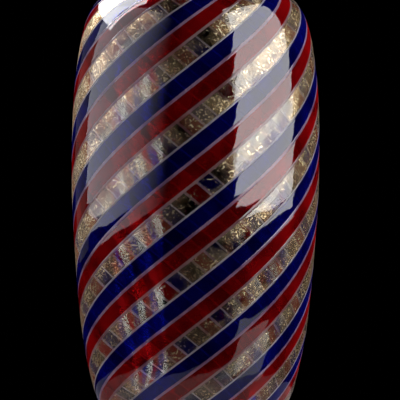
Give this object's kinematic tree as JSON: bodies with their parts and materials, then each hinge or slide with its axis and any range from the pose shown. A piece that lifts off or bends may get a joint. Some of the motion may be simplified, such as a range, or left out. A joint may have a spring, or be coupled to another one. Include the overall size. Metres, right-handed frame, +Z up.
{
  "type": "blown glass cane vase",
  "caption": "Tall ovoid blown glass vase of spiral cobalt, ruby and metal-leaf canes over a clear lining, with a short neck and a low clear foot.",
  "frame": {"origin": "centre of the underside of the foot", "axes": "+Z up along the vase's axis; -Y is the side that the picture shows"},
  "size_m": [0.1299, 0.1298, 0.2927],
  "materials": {
    "cobalt_glass": "deep transparent cobalt blue, fire polished",
    "ruby_glass": "deep transparent ruby red, fire polished",
    "leaf_glass": "clear with crinkled gold and silver leaf",
    "lavender_thread": "lavender-white thread under clear glass",
    "white_thread": "soft white thread under clear glass",
    "clear_glass": "clear, fire polished"
  },
  "bodies": {
    "root": {"blue_cane_1": "cobalt_glass", "red_cane_1": "ruby_glass", "leaf_cane_1": "leaf_glass", "thread_blue_red_1": "lavender_thread", "thread_red_leaf_1": "white_thread", "thread_leaf_blue_1": "white_thread", "blue_cane_2": "cobalt_glass", "red_cane_2": "ruby_glass", "leaf_cane_2": "leaf_glass", "thread_blue_red_2": "lavender_thread", "thread_red_leaf_2": "white_thread", "thread_leaf_blue_2": "white_thread", "blue_cane_3": "cobalt_glass", "red_cane_3": "ruby_glass", "leaf_cane_3": "leaf_glass", "thread_blue_red_3": "lavender_thread", "thread_red_leaf_3": "white_thread", "thread_leaf_blue_3": "white_thread", "blue_cane_4": "cobalt_glass", "red_cane_4": "ruby_glass", "leaf_cane_4": "leaf_glass", "thread_blue_red_4": "lavender_thread", "thread_red_leaf_4": "white_thread", "thread_leaf_blue_4": "white_thread", "blue_cane_5": "cobalt_glass", "red_cane_5": "ruby_glass", "leaf_cane_5": "leaf_glass", "thread_blue_red_5": "lavender_thread", "thread_red_leaf_5": "white_thread", "thread_leaf_blue_5": "white_thread", "blue_cane_6": "cobalt_glass", "red_cane_6": "ruby_glass", "leaf_cane_6": "leaf_glass", "thread_blue_red_6": "lavender_thread", "thread_red_leaf_6": "white_thread", "thread_leaf_blue_6": "white_thread", "blue_cane_7": "cobalt_glass", "red_cane_7": "ruby_glass", "leaf_cane_7": "leaf_glass", "thread_blue_red_7": "lavender_thread", "thread_red_leaf_7": "white_thread", "thread_leaf_blue_7": "white_thread", "blue_cane_8": "cobalt_glass", "red_cane_8": "ruby_glass", "leaf_cane_8": "leaf_glass", "thread_blue_red_8": "lavender_thread", "thread_red_leaf_8": "white_thread", "thread_leaf_blue_8": "white_thread", "blue_cane_9": "cobalt_glass", "red_cane_9": "ruby_glass", "leaf_cane_9": "leaf_glass", "thread_blue_red_9": "lavender_thread", "thread_red_leaf_9": "white_thread", "thread_leaf_blue_9": "white_thread", "inner_lining": "clear_glass", "foot": "clear_glass"}
  },
  "joints": []
}
